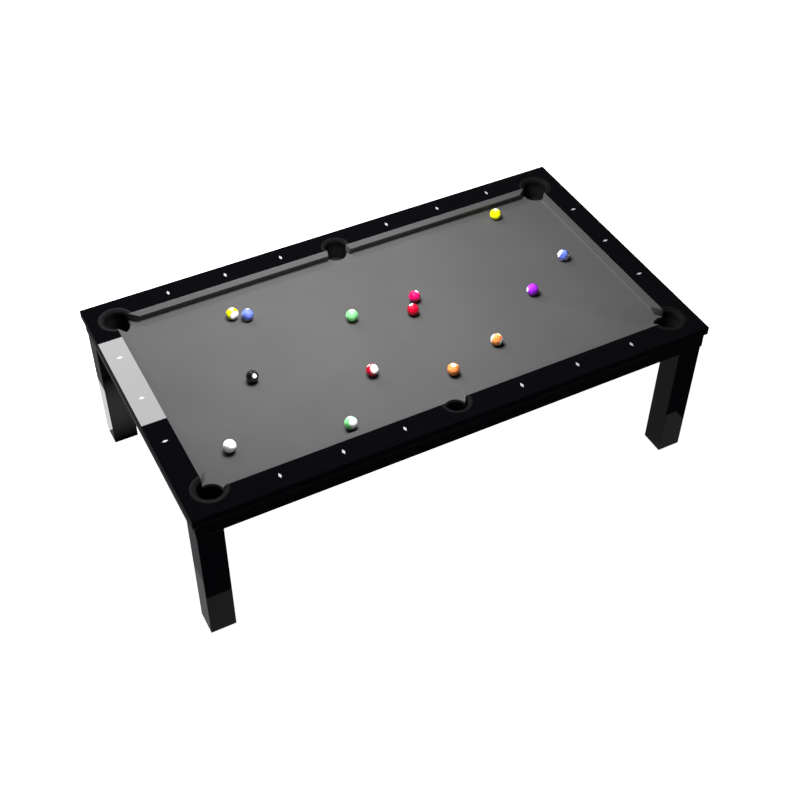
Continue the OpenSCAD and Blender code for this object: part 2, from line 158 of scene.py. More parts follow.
def rounded(points, radii, steps):
    """A closed outline with each corner replaced by an arc of its own radius."""
    outline = []
    for i, (p, r) in enumerate(zip(points, radii)):
        p = Vector(p)
        to_last = (Vector(points[i - 1]) - p).normalized()
        to_next = (Vector(points[(i + 1) % len(points)]) - p).normalized()
        half = to_last.angle(to_next) / 2
        start = p + to_last * r / math.tan(half)
        end = p + to_next * r / math.tan(half)
        centre = p + (to_last + to_next).normalized() * r / math.sin(half)
        for k in range(steps + 1):
            spoke = (start - centre).lerp(end - centre, k / steps)
            outline.append(centre + spoke.normalized() * r)
    return outline


# ---------- materials ----------

def material(name, **values):
    """A Principled material with the given socket values, and its nodes to build on."""
    made = bpy.data.materials.new(name)
    made.use_nodes = True
    shader = made.node_tree.nodes["Principled BSDF"]
    for socket, value in values.items():
        shader.inputs[socket.replace("_", " ")].default_value = value
    return made, made.node_tree, shader


def node(tree, kind, inputs=None, **settings):
    """A shader node with its settings, and its inputs linked to sockets or set to values."""
    made = tree.nodes.new("ShaderNode" + kind)
    for key, value in settings.items():
        setattr(made, key, value)
    for key, value in (inputs or {}).items():
        if isinstance(value, bpy.types.NodeSocket):
            tree.links.new(value, made.inputs[key])
        else:
            made.inputs[key].default_value = value
    return made


def math_node(tree, operation, *values):
    return node(tree, "Math", dict(enumerate(values)), operation=operation).outputs[0]


def place(tree, scale=(1, 1, 1)):
    """The piece's own coordinates, in metres, stretched along its axes."""
    own = node(tree, "TexCoord").outputs["Object"]
    return node(tree, "Mapping", {"Vector": own, "Scale": scale}).outputs["Vector"]


def noise(tree, where, scale, detail=3.0, rough=0.55):
    made = node(tree, "TexNoise", {
        "Vector": where, "Scale": scale, "Detail": detail, "Roughness": rough})
    return made.outputs["Fac"]


def spread(tree, value, low, high, start=0.3, stop=0.7):
    """Maps a value that runs from start to stop onto the range low to high."""
    made = node(tree, "MapRange", {
        "Value": value, "From Min": start, "From Max": stop, "To Min": low, "To Max": high})
    return made.outputs["Result"]


def tint(tree, value, dark, light, start=0.3, stop=0.7):
    """A colour between dark and light, by a value."""
    ramp = node(tree, "ValToRGB", {"Fac": value})
    for element, place_at, colour in zip(ramp.color_ramp.elements, (start, stop), (dark, light)):
        element.position = place_at
        element.color = (*colour, 1)
    return ramp.outputs["Color"]


def bump(tree, shader, height, strength, distance, under=None):
    """Bumps the shader's surface by a height, on top of another bump if one is given."""
    inputs = {"Height": height, "Strength": strength, "Distance": distance}
    if under is not None:
        inputs["Normal"] = under
    made = node(tree, "Bump", inputs)
    tree.links.new(made.outputs["Normal"], shader.inputs["Normal"])
    return made.outputs["Normal"]


def scaled(colour, factor):
    return tuple(c * factor for c in colour)


def mottle(tree, shader, value, colour, dark, light, **span):
    """Colours the surface between a darker and a lighter share of a colour, by a value."""
    shades = tint(tree, value, scaled(colour, dark), scaled(colour, light), **span)
    tree.links.new(shades, shader.inputs["Base Color"])


def roughen(tree, shader, value, low, high):
    """Varies the surface's roughness between two bounds, by a value."""
    tree.links.new(spread(tree, value, low, high), shader.inputs["Roughness"])


def lacquer(name, colour, grain):
    """Black piano lacquer over wood: closed grain under a clear coat with a hint of orange peel."""
    made, tree, shader = material(
        name, Roughness=0.5, Specular_IOR_Level=0.0,
        Coat_Weight=1.0, Coat_Roughness=0.004, Coat_IOR=1.5)
    figure = noise(tree, place(tree, grain), scale=9, detail=5)
    mottle(tree, shader, figure, colour, dark=0.75, light=1.35)
    bump(tree, shader, figure, strength=0.02, distance=0.2 * MM)
    peel = noise(tree, place(tree), scale=420, detail=2)
    coat = node(tree, "Bump", {"Height": peel, "Strength": 0.02, "Distance": 0.05 * MM})
    tree.links.new(coat.outputs["Normal"], shader.inputs["Coat Normal"])
    return made


def billiard_cloth(name, colour):
    """Worsted cloth: a fine plain weave, short fibres, and slow changes of tone."""
    made, tree, shader = material(
        name, Roughness=0.92, Sheen_Weight=0.25, Sheen_Roughness=0.45, Specular_IOR_Level=0.25)
    here = place(tree)
    threads = [
        node(tree, "TexWave", {
            "Vector": here, "Scale": 260, "Distortion": 1.2, "Detail": 1.5, "Detail Scale": 3.0},
            bands_direction=axis, wave_profile="SIN").outputs["Fac"]
        for axis in "XYZ"]
    crossing = math_node(tree, "MULTIPLY", threads[0], threads[1])
    weave = math_node(tree, "MULTIPLY_ADD", crossing, threads[2], 0.35)
    fibres = noise(tree, here, scale=900, detail=4, rough=0.7)
    tone = noise(tree, here, scale=2.2)
    fleck = math_node(tree, "MULTIPLY_ADD", fibres, 0.35, tone)
    mottle(tree, shader, fleck, colour, dark=0.93, light=1.07, start=0.45, stop=0.9)
    roughen(tree, shader, fibres, 0.86, 0.98)
    coarse = bump(tree, shader, weave, strength=0.25, distance=0.25 * MM)
    bump(tree, shader, fibres, strength=0.3, distance=0.3 * MM, under=coarse)
    return made


def rubber(name, colour, rough=0.55, grain=700, depth=0.15):
    """Moulded rubber: fine pebble and scuffed patches."""
    made, tree, shader = material(name, Roughness=rough, Specular_IOR_Level=0.2)
    here = place(tree)
    pebble = noise(tree, here, grain)
    scuff = noise(tree, here, scale=22, detail=5, rough=0.65)
    mottle(tree, shader, scuff, colour, dark=0.85, light=1.25)
    roughen(tree, shader, scuff, rough - 0.1, rough + 0.12)
    bump(tree, shader, pebble, strength=depth, distance=0.25 * MM)
    return made


def resin(name, colour, rough):
    """Cast phenolic resin, polished, with faint chalk marks in its gloss."""
    made, tree, shader = material(
        name, Roughness=rough, Coat_Weight=0.2, Coat_Roughness=0.2, Specular_IOR_Level=0.4,
        Subsurface_Weight=0.7, Subsurface_Scale=12 * MM, Subsurface_Radius=(1, 1, 1))
    here = place(tree)
    marks = noise(tree, here, scale=90, detail=4, rough=0.6)
    roughen(tree, shader, marks, rough - 0.04, rough + 0.1)
    cloud = noise(tree, here, scale=30, detail=2)
    mottle(tree, shader, cloud, colour, dark=0.96, light=1.03)
    return made


def pearl(name, colour):
    """Mother of pearl: cloudy layers under a polished face."""
    made, tree, shader = material(name, Roughness=0.2, Coat_Weight=0.6, Coat_Roughness=0.05)
    here = place(tree, (1, 1, 4))
    cloud = node(tree, "TexNoise", {
        "Vector": here, "Scale": 150, "Detail": 3, "Distortion": 1.5}).outputs["Color"]
    mild = node(tree, "HueSaturation", {
        "Color": cloud, "Saturation": 0.25, "Value": 1.6}).outputs["Color"]
    mixed = node(tree, "Mix", data_type="RGBA", blend_type="MULTIPLY")
    mixed.inputs["Factor"].default_value = 0.3
    mixed.inputs["A"].default_value = (*colour, 1)
    tree.links.new(mild, mixed.inputs["B"])
    tree.links.new(mixed.outputs["Result"], shader.inputs["Base Color"])
    return made


def steel(name, colour, rough, streak=(1, 1, 1)):
    """Plated or plain steel with a brushed or rolled finish."""
    made, tree, shader = material(name, Metallic=1.0, Roughness=rough)
    lines = noise(tree, place(tree, streak), scale=160, detail=4, rough=0.6)
    mottle(tree, shader, lines, colour, dark=0.8, light=1.1)
    roughen(tree, shader, lines, rough - 0.08, rough + 0.12)
    bump(tree, shader, lines, strength=0.1, distance=0.1 * MM)
    return made


def timber(name, dark, light, along=(1, 12, 12)):
    """Sawn softwood: growth rings stretched along the beam, and rough fibres."""
    made, tree, shader = material(name, Roughness=0.75)
    here = place(tree, along)
    rings = node(tree, "TexWave", {
        "Vector": here, "Scale": 3.0, "Distortion": 7.0, "Detail": 3.0, "Detail Scale": 1.2},
        wave_type="BANDS", bands_direction="Y").outputs["Fac"]
    tree.links.new(tint(tree, rings, dark, light, 0.1, 0.9), shader.inputs["Base Color"])
    fibres = noise(tree, here, scale=60, detail=5, rough=0.7)
    roughen(tree, shader, fibres, 0.65, 0.85)
    bump(tree, shader, fibres, strength=0.3, distance=0.4 * MM)
    return made


def slate_stone(name):
    """Honed slate: cleft layers and pale dust."""
    made, tree, shader = material(name, Roughness=0.7)
    layers = noise(tree, place(tree, (1, 1, 9)), scale=12, detail=6, rough=0.65)
    shades = tint(tree, layers, (0.045, 0.05, 0.055), (0.12, 0.125, 0.13))
    tree.links.new(shades, shader.inputs["Base Color"])
    roughen(tree, shader, layers, 0.6, 0.82)
    bump(tree, shader, layers, strength=0.35, distance=0.8 * MM)
    return made


CLOTH_GREY = (0.088, 0.088, 0.088)
PAINT_BLACK = (0.0009, 0.0008, 0.0016)
CLOTH = billiard_cloth("bed_cloth_grey", CLOTH_GREY)
# The cushions wear the bed's cloth painted a tenth darker: painted shade for how the light falls on
# them
CUSHION_CLOTH_SHADED = billiard_cloth("cushion_cloth_shaded_grey", scaled(CLOTH_GREY, 0.9))
LINER_RUBBER = rubber("liner_rubber_black", (0.007, 0.007, 0.007), 0.62)
GRAIN_X, GRAIN_Y, GRAIN_Z = (1, 14, 14), (14, 1, 14), (14, 14, 1)

# Finish of each kind of CAD node that stays as it is, by the start of its name
FINISHES = {
    "rail_bolts": steel("zinc_steel", (0.6, 0.61, 0.62), 0.3),
    "leg_plates": steel("plate_steel", (0.35, 0.35, 0.36), 0.45, (1, 8, 1)),
    "leg_": lacquer("leg_lacquer_black", scaled(PAINT_BLACK, 1.2), GRAIN_Z),
    "foot_": rubber("foot_nylon_black", (0.02, 0.02, 0.02), 0.5, 400),
    "corner_blocks": timber("softwood_blocks", (0.34, 0.21, 0.1), (0.56, 0.4, 0.22)),
    "long_beams": timber("softwood_long", (0.34, 0.21, 0.1), (0.58, 0.42, 0.24)),
    "cross_beams": timber("softwood_cross", (0.33, 0.2, 0.1), (0.55, 0.39, 0.22), (12, 1, 12)),
    "slate_": slate_stone("honed_slate"),
    "cup_": rubber("cup_rubber_black", (0.013, 0.013, 0.013), 0.6, 500, 0.25),
    "sights": pearl("sight_pearl", (0.5, 0.5, 0.49)),
    "wood_screws": steel("zinc_screws", (0.62, 0.62, 0.6), 0.32),
    "cushion_facings": rubber("facing_rubber", (0.03, 0.03, 0.03)),
}
for part in ("rail", "apron"):
    for place_of, word, run in (("front", "long", GRAIN_X), ("back", "far", GRAIN_X),
                                ("left", "left", GRAIN_Y), ("right", "right", GRAIN_Y)):
        FINISHES[f"{part}_{place_of}"] = lacquer(f"{part}_lacquer_{word}", PAINT_BLACK, run)


def finish_cad_nodes():
    """Gives each CAD node the finish under the longest start of its name."""
    for name, obj in frame["nodes"].items():
        fits = [key for key in FINISHES if name.startswith(key)]
        if not fits:
            continue
        obj.data.materials.clear()
        obj.data.materials.append(FINISHES[max(fits, key=len)])


# ---------- bed cloth ----------

FOLD_R = 3.2 * MM       # outer radius of the cloth's fold over the edge of the slate
FOLD_STEPS = 6
ARC_STEPS = 40
CLOTH_T = 0.9 * MM
CHANNEL_SHARE = 0.9     # width of the way out of a hole, against the hole
LIP_SHARES = (0.45, 0.7, 0.97)      # heights of the rings down the lip, against its depth
PARALLEL = 0.01         # a direction that leans less than this never meets the edge


def on_bed(point):
    """The nearest point of the bed's rectangle."""
    return Vector(max(-limit, min(limit, value)) for value, limit in zip(point, BED_HALF))


class BedHole:
    """A round hole near the edge of the bed with a way out to that edge, in plan."""

    def __init__(self, centre, direction, hole_r):
        self.centre = centre
        self.out = direction
        self.side = Vector((-direction.y, direction.x))
        self.hole_r = hole_r

    def edge_hit(self, lateral):
        """Where a line along the way out, at a lateral distance, meets the edge of the bed."""
        start = self.centre + self.side * lateral
        runs = []
        for axis in (0, 1):
            if abs(self.out[axis]) > PARALLEL:
                limit = math.copysign(BED_HALF[axis], self.out[axis])
                runs.append((limit - start[axis]) / self.out[axis])
        return start + self.out * min(runs)

    def path(self, back):
        """The hole's edge, moved back into the bed, from one end at the bed's edge to the other."""
        lateral = CHANNEL_SHARE * self.hole_r + back
        radius = self.hole_r + back
        turn = math.asin(lateral / radius)
        arc = []
        for k in range(ARC_STEPS + 1):
            angle = -turn - (2 * math.pi - 2 * turn) * k / ARC_STEPS
            spoke = math.cos(angle) * self.out + math.sin(angle) * self.side
            arc.append(self.centre + radius * spoke)
        ends = [self.edge_hit(-lateral), self.edge_hit(lateral)]
        # An arc that already ends past the bed needs no way out: its end lies on the bed's edge
        for i, end in enumerate((arc[0], arc[-1])):
            if on_bed(end) != end:
                ends[i] = on_bed(end)
        return [ends[0], *[on_bed(p) for p in arc], ends[1]]


def bed_holes():
    """The six holes, counter-clockwise from the front left, each as wide as the CAD cloth's."""
    order = ["front_left", "front", "front_right", "back_right", "back", "back_left"]
    holes = []
    for name in order:
        centre = pocket_centre(name)
        holes.append(BedHole(centre, outward(POCKETS[name]), reach("cloth", centre)[0]))
    return holes


def fold_profile():
    """Distance back into the bed and height, from the flat of the bed down into the pocket."""
    turns = [k / FOLD_STEPS * math.pi / 2 for k in range(FOLD_STEPS + 1)]
    fold = [(FOLD_R * (1 - math.sin(t)), BED - FOLD_R * (1 - math.cos(t))) for t in turns]
    return fold + [(0, BED - LIP * share) for share in LIP_SHARES]


def build_bed_cloth():
    """One sheet over the slate, cut out at the pockets and folded down into them."""
    holes = bed_holes()
    profile = fold_profile()
    points, faces, outline = [], [], []
    for hole in holes:
        rings = [[(*p, z) for p in hole.path(back)] for back, z in profile]
        first = len(points)
        for ring in rings:
            points.extend(ring)
        quads = loop_strip(rings, closed_ring=False)
        faces.extend(tuple(first + i for i in quad) for quad in quads)
        outline.extend(range(first, first + len(rings[0])))
    faces.append(tuple(outline))
    mesh = mesh_from("bed_cloth", points, faces)
    bm = bmesh.new()
    bm.from_mesh(mesh)
    bmesh.ops.remove_doubles(bm, verts=bm.verts, dist=MERGE)
    flats = [f for f in bm.faces if len(f.verts) > 4]
    bmesh.ops.triangulate(bm, faces=flats, ngon_method="EAR_CLIP")
    bmesh.ops.recalc_face_normals(bm, faces=bm.faces)
    if sum(f.normal.z for f in bm.faces) < 0:
        bmesh.ops.reverse_faces(bm, faces=bm.faces)
    area = sum(f.calc_area() for f in bm.faces)
    bm.to_mesh(mesh)
    bm.free()
    obj = table_piece("bed_cloth", mesh, CLOTH, sharp=60)
    thick = obj.modifiers.new("thickness", "SOLIDIFY")
    thick.thickness = CLOTH_T
    thick.offset = -1
    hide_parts("cloth")


# ---------- cushions ----------

STATIONS = 26           # sections along a cushion
FACING_T = 5 * MM
CROWN = 0.35 * MM       # how far the top of a cushion swells
SIDE_PARTS = 6          # parts of each long side of the section
CORNER_STEPS = 6        # parts of each of its rounded corners
CORNER_RADII = [0.4 * MM, 1.2 * MM, 1.0 * MM, 1.2 * MM, 2.0 * MM]
FOOT_REACH = 2 * MM     # points this near the bed belong to the cushion's foot
CAP_ROUND = 1.8 * MM    # rounding of the cloth over the ends
CAP_SEGMENTS = 3


def cushion_section(depth, undercut, lift, nose_low, nose_high, height):
    """Outline of a covered cushion: distance from the rail and height above the bed."""
    corners = [
        (0, lift), (0, height), (depth, nose_high), (depth, nose_low), (depth - undercut, lift)]
    outline = rounded(corners, CORNER_RADII, CORNER_STEPS)
    filled = []
    for i, p in enumerate(outline):
        q = outline[(i + 1) % len(outline)]
        filled.append(p)
        if (q - p).length > depth / 2:
            outside = Vector((p.y - q.y, q.x - p.x)).normalized()
            swell = CROWN if min(p.y, q.y) > nose_low else 0    # the top alone
            for k in range(1, SIDE_PARTS):
                share = k / SIDE_PARTS
                filled.append(p.lerp(q, share) + outside * swell * math.sin(math.pi * share))
    return filled


def build_cushion(node_name, axis, sign):
    """A cushion under tight cloth, its slanted ends wrapped over the facings."""
    points = cad_points(node_name)
    side = 1 - axis
    nose = min(abs(p[side]) for p in points)
    back = max(abs(p[side]) for p in points)
    foot = min(abs(p[side]) for p in points if p.z < BED + FOOT_REACH)
    at_nose = [p for p in points if abs(abs(p[side]) - nose) < NEAR]
    at_back = [p for p in points if abs(abs(p[side]) - back) < NEAR]
    nose_ends, back_ends = (
        (min(p[axis] for p in found), max(p[axis] for p in found)) for found in (at_nose, at_back))
    nose_heights = [round(p.z - BED, 5) for p in at_nose]
    lift = min(p.z for p in points) - BED
    depth = back - nose
    section = cushion_section(
        depth, foot - nose, lift, min(nose_heights), max(nose_heights), TOP - BED)
    slant = [math.hypot(depth, b - n) / depth * FACING_T for n, b in zip(nose_ends, back_ends)]

    def along(u, share):
        """Place along the rail at a distance from it, by the share of the way between the ends."""
        low = back_ends[0] + (nose_ends[0] - back_ends[0]) * u / depth - slant[0]
        high = back_ends[1] + (nose_ends[1] - back_ends[1]) * u / depth + slant[1]
        return low + (high - low) * share

    rings = []
    for i in range(STATIONS):
        share = i / (STATIONS - 1)
        ring = []
        for u, v in section:
            point = [0, 0, BED + v]
            point[axis] = along(u, share)
            point[side] = sign * (back - u)
            ring.append(Vector(point))
        rings.append(ring)
    mesh = capped_sweep(node_name + "_cloth", rings)
    round_caps(mesh, len(section))
    obj = table_piece(node_name + "_cloth", mesh, CUSHION_CLOTH_SHADED, sharp=50)
    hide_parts(node_name, "cushion_facings")


def round_caps(mesh, count):
    """Rounds the edges round the two end faces, as cloth pulled over them does."""
    bm = bmesh.new()
    bm.from_mesh(mesh)
    bmesh.ops.recalc_face_normals(bm, faces=bm.faces)
    caps = [f for f in bm.faces if len(f.verts) == count]
    edges = list({e for f in caps for e in f.edges})
    bmesh.ops.bevel(
        bm, geom=edges, offset=CAP_ROUND, offset_type="OFFSET", segments=CAP_SEGMENTS,
        profile=0.5, affect="EDGES", clamp_overlap=True)
    bm.to_mesh(mesh)
    bm.free()


# ---------- pocket liners ----------

LINER_STEPS = 72
BEAD_SHARE = 0.45       # place of the groove between throat and outside
BEAD_STEPS = 14
BEAD_FLATTENING = 0.8
BEAD_EDGE = 1 * MM      # depth of the bead's foot below the rails
GROOVE_DEPTH = 4 * MM
GROOVE_HALF = 0.3 * MM
GROOVE_RISE = 0.6 * MM
LIP_STEPS = 8
LIP_EDGE = 1.5 * MM     # depth of the lip's start below the rails
LIP_FALL = 9 * MM
LIP_BACK = 0.5 * MM
LIP_BACK_DEPTH = 3 * MM
THROAT_EASE = 4 * MM
FOOT_EDGE = 0.3 * MM


def liner_profile(throat, outer, crown):
    """Radius and height round the section of a liner, from the foot of its outside upward."""
    groove = throat + BEAD_SHARE * (outer - throat)
    bead = (outer - groove) / 2
    section = [(outer, BED), (outer, (BED + TOP) / 2)]
    for k in range(BEAD_STEPS + 1):
        a = math.pi * k / BEAD_STEPS
        rise = (crown + BEAD_EDGE) * abs(math.sin(a)) ** BEAD_FLATTENING
        section.append((groove + bead + bead * math.cos(a), TOP - BEAD_EDGE + rise))
    section.append((groove + GROOVE_HALF, TOP - GROOVE_DEPTH + GROOVE_RISE))
    section.append((groove - GROOVE_HALF, TOP - GROOVE_DEPTH))
    lip_out = groove - LIP_EDGE
    section.append((lip_out + LIP_BACK, TOP - LIP_BACK_DEPTH))
    for k in range(LIP_STEPS + 1):
        t = k / LIP_STEPS
        section.append((lip_out - (lip_out - throat) * t, TOP - LIP_EDGE - LIP_FALL * t * t))
    section.append((throat, TOP - LIP_EDGE - LIP_FALL - THROAT_EASE))
    section += [(throat, BED + FOOT_EDGE), (throat, BED)]
    return section


def liner_half_turn(name, radius):
    """Half of the angle that the liner spans at a radius, out to the inner edges of the rails."""
    centre = pocket_centre(name)
    gap = RAIL_IN.y - abs(centre.y)
    if name in SIDES:
        return math.pi / 2 - math.asin(gap / radius)
    return math.pi / 4 + math.acos(gap / radius)


def build_liner(name):
    """A moulded rubber ring let into the rails, open towards the bed."""
    node_name = "liner_" + name
    centre = pocket_centre(name)
    throat, outer = reach(node_name, centre)
    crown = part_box(node_name)[1].z - TOP
    out = outward(POCKETS[name])
    side = Vector((-out.y, out.x))
    section = liner_profile(throat, outer, crown)
    rings = []
    for i in range(LINER_STEPS + 1):
        share = 2 * i / LINER_STEPS - 1
        ring = []
        for r, z in section:
            turn = share * liner_half_turn(name, r)
            plan = centre + r * (math.cos(turn) * out + math.sin(turn) * side)
            ring.append(Vector((plan.x, plan.y, z)))
        rings.append(ring)
    mesh = capped_sweep(node_name + "_ring", rings)
    face_outward(mesh)
    obj = table_piece(node_name + "_ring", mesh, LINER_RUBBER, sharp=35)
    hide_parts(node_name)


# ---------- balls ----------

WHITE = (0.85, 0.85, 0.84)
BLUE = (0.1, 0.14, 0.46)
PURPLE = (0.26, 0.012, 0.53)
CRIMSON = (0.38, 0.0, 0.015)
ORANGE = (0.72, 0.22, 0.055)
GREEN = (0.17, 0.56, 0.2)
YELLOW = (0.72, 0.72, 0.0)
BLACK = (0.006, 0.006, 0.006)
STRIPE_HALF = 0.64      # half the width of a stripe, against the ball's radius
SPOT_R = 10.3 * MM
SPOT_AT = math.sqrt(BALL_R ** 2 - SPOT_R ** 2)      # a spot's edge, from the ball's middle
BALL_CUTS = 15          # cuts across each face of the cube that is blown up into a ball
CUT_SNAP = 0.01 * MM
PAINT_ROUGH = 0.33
WHITE_ROUGH = 0.3
NUMBER_H = 12 * MM
NUMBER_PROUD = 0.04 * MM
NUMBER_CURVES = 6
NUMBER_CELL = 0.9 * MM  # faces of a numeral are cut this fine, so that they bend onto the ball
NUMBER_CELLS = 10       # cuts on each side of a numeral's middle

# Colour, slot, and where the number and the stripe's axis point: right, up, towards the viewer
BALLS = {
    "ball_cue": (WHITE, "ball_white", None, None),
    "ball_1": (YELLOW, "ball_yellow", (0, 0.8, 0.6), None),
    "ball_2": (BLUE, "ball_blue", (0.05, 0.98, 0.1), None),
    "ball_3": ((0.48, 0.0, 0.08), "ball_red", (0.37, 0.83, 0.42), None),
    "ball_4": (PURPLE, "ball_purple", (-0.93, 0, 0.3), None),
    "ball_5": (ORANGE, "ball_orange", (0, 0.68, 0.73), None),
    "ball_6": (GREEN, "ball_green", (0.0, 0.94, 0.3), None),
    "ball_7": (CRIMSON, "ball_maroon", (-0.36, 0.87, 0.34), None),
    "ball_8": (BLACK, "ball_black", (0.46, 0.06, 0.88), None),
    "ball_9": (YELLOW, "ball_yellow", (-0.04, 0.73, 0.68), (0.585, -0.47, 0.66)),
    "ball_10": (BLUE, "ball_blue", (0.3, 0.95, 0.05), (-0.87, 0.45, 0.1)),
    "ball_11": (CRIMSON, "ball_red", (-0.6, 0.78, 0.2), (0.58, 0.31, 0.75)),
    "ball_13": (ORANGE, "ball_orange", (0.2, 0.95, 0.2), (0.9, -0.4, 0.1)),
    "ball_14": (GREEN, "ball_green", (-0.33, 0.9, 0.2), (0.62, 0.05, 0.78)),
}


def numeral_points(text):
    """A numeral of the built-in font as a flat solid of fine faces, about the origin, in metres."""
    curve = bpy.data.curves.new("numeral", "FONT")
    curve.body = text
    curve.size = NUMBER_H
    curve.align_x = "CENTER"
    curve.extrude = NUMBER_PROUD
    curve.resolution_u = NUMBER_CURVES
    holder = new_object("numeral", curve)
    depsgraph = bpy.context.evaluated_depsgraph_get()
    depsgraph.update()
    flat = bpy.data.meshes.new_from_object(holder.evaluated_get(depsgraph))
    bm = bmesh.new()
    bm.from_mesh(flat)
    bmesh.ops.remove_doubles(bm, verts=bm.verts, dist=MERGE)
    xs = [v.co.x for v in bm.verts]
    ys = [v.co.y for v in bm.verts]
    middle = Vector(((min(xs) + max(xs)) / 2, (min(ys) + max(ys)) / 2, 0))
    bmesh.ops.translate(bm, vec=-middle, verts=bm.verts)
    for axis in (Vector((1, 0, 0)), Vector((0, 1, 0))):
        for k in range(-NUMBER_CELLS, NUMBER_CELLS + 1):
            bmesh.ops.bisect_plane(
                bm, geom=bm.verts[:] + bm.edges[:] + bm.faces[:],
                plane_co=axis * k * NUMBER_CELL, plane_no=axis)
    bmesh.ops.recalc_face_normals(bm, faces=bm.faces)
    bm.to_mesh(flat)
    bm.free()
    bpy.data.objects.remove(holder)
    bpy.data.curves.remove(curve)
    return flat


def wrap_numeral(flat, half_turn):
    """Bends a flat numeral onto the ball, upright along its Z axis, at +X or -X."""
    mesh = flat.copy()
    for v in mesh.vertices:
        x, y, height = v.co
        spoke = Vector((math.sqrt(max(BALL_R ** 2 - x * x - y * y, 0)), x, y)).normalized()
        on_ball = spoke * (BALL_R + height)
        v.co = Matrix.Rotation(math.pi, 3, "Z") @ on_ball if half_turn else on_ball
    mesh.update()
    return mesh


def ball_mesh(name, spots, stripe):
    """A fine sphere whose faces are cut along the edges of its stripe and its number spots."""
    bm = bmesh.new()
    bmesh.ops.create_cube(bm, size=2)
    bmesh.ops.subdivide_edges(bm, edges=bm.edges, cuts=BALL_CUTS, use_grid_fill=True)
    for v in bm.verts:
        v.co = v.co.normalized() * BALL_R
    cuts = []
    if stripe:
        cuts.append((Vector((0, 0, 1)), STRIPE_HALF * BALL_R))
    if spots:
        cuts.append((Vector((1, 0, 0)), SPOT_AT))
    for axis, far in cuts:
        for at in (-far, far):
            bmesh.ops.bisect_plane(
                bm, geom=bm.verts[:] + bm.edges[:] + bm.faces[:], dist=CUT_SNAP,
                plane_co=axis * at, plane_no=axis)
    for v in bm.verts:
        v.co = v.co.normalized() * BALL_R
    for f in bm.faces:
        middle = f.calc_center_median().normalized() * BALL_R
        in_spot = spots and abs(middle.x) > SPOT_AT
        in_white = stripe and abs(middle.z) > STRIPE_HALF * BALL_R
        f.material_index = 1 if in_spot or in_white else 0
    mesh = bpy.data.meshes.new(name)
    bm.to_mesh(mesh)
    bm.free()
    return mesh


def ball_turn(number_at, stripe_axis, view):
    """Rotation of a ball from where its number and its stripe's axis point in the view."""
    if number_at is None:
        return Matrix.Identity(3)
    x = view @ Vector(number_at).normalized()
    z = view @ Vector(stripe_axis if stripe_axis else (0, 1, 0))
    if stripe_axis:
        z.normalize()
        x = (x - z * x.dot(z)).normalized()
    else:
        z = (z - x * z.dot(x)).normalized()
    y = z.cross(x)
    return Matrix((x, y, z)).transposed()


def build_ball(name, view):
    """A ball and, but for the cue ball, its number on two opposite spots."""
    colour, slot, number_at, stripe_axis = BALLS[name]
    low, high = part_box(name)
    turn = ball_turn(number_at, stripe_axis, view).to_4x4()
    centre = (low + high) / 2
    paint = resin(name + "_resin", colour, PAINT_ROUGH)
    mesh = ball_mesh(name, bool(number_at), bool(stripe_axis))
    mesh.transform(turn)
    paint_smooth(mesh, [paint, BALL_WHITE] if number_at else [paint])
    obj = new_object(name + "_polished", mesh)
    obj.location = centre
    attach(obj, name)
    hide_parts(name)
    if not number_at:
        return
    flat = numeral_points(name.split("_")[1])
    for side, half_turn in (("a", False), ("b", True)):
        mark = new_object(f"{name}_number_{side}", wrap_numeral(flat, half_turn))
        mark.data.materials.clear()
        mark.data.materials.append(NUMBER_INK)
        mark.data.transform(turn)
        mark.location = centre
        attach(mark, name)


BALL_WHITE = resin("ball_white_resin", WHITE, WHITE_ROUGH)
NUMBER_INK = resin("number_ink", BLACK, WHITE_ROUGH)

# ---------- floor, light and camera ----------

CAMERA_AT = Vector((-2.106, -3.994, 4.768))
CAMERA_AIM = Vector((0.32368, 0.63036, -0.70561))
LENS = 58.53
SENSOR = 36
SHIFT = (0.0230, -0.0041)
FAR_CLIP = 100
FLOOR_HALF = 30
FLOOR_PALE = (0.85, 0.85, 0.85, 1)
WHITE_LIGHT = (1, 1, 1, 1)

# Glowing cards on the floor, seen only in the gloss: a painted reflection of the lit floor, with
# painted shade where the table shades it. Corners in plan, radiance, whether it fades
CARD_IN = RAIL_OUT - Vector((0.07, 0.06))
CARD_LEFT, CARD_RIGHT = -1.325, 1.377
CARDS = {
    "card_front": ((CARD_LEFT, -0.885), (CARD_RIGHT, -CARD_IN.y), 0.16, False),
    "card_left": ((CARD_LEFT, -CARD_IN.y), (-CARD_IN.x, 0.12), 0.22, False),
    "card_back_left": ((CARD_LEFT, 0.68), (-1.0, 1.3), 1.3, False),
    "card_right": ((CARD_IN.x, -CARD_IN.y), (CARD_RIGHT, CARD_IN.y), 0.16, False),
    "card_under": ((-CARD_IN.x, -CARD_IN.y), (0.5, 0.1), 0.04, False),
    "card_under_right": ((0.5, -CARD_IN.y), (CARD_IN.x, 0.1), 0.12, False),
    "card_under_back": ((CARD_LEFT, 0.12), (CARD_IN.x, 0.57), 0.5, True),
    "card_far_left": ((-1.6, -0.3), (-1.4, 1.8), 0.05, False),
}
CARD_Z = 1 * MM

# Area lights: place, size, the point they face, radiance, whether the gloss shows them
KEY = ((-0.9, 3.0, 3.5), (2.4, 0.97), (-0.9, 3.0, 0), 10.6, True)
TOP_LIGHT = ((-0.276, 0.197, 2.81), (1.0, 1.0), (-0.276, 0.197, BED), 32.5, False)
FILL = ((-2.1, -3.6, 4.0), (1.6, 1.6), (0, 0, BED), 4.5, False)

# The surroundings in reflections: brightest low down on one side
BRIGHT_SIDE = (-0.457, 0.889, 0)
LOW_DIM, LOW_BRIGHT = 0.01, 0.14
OVERHEAD = 0.05
HORIZON = 0.15          # half of the height over which low turns into overhead
AMBIENT = 0.02
GLOSS_TINT = (1, 0.98, 1.04, 1)


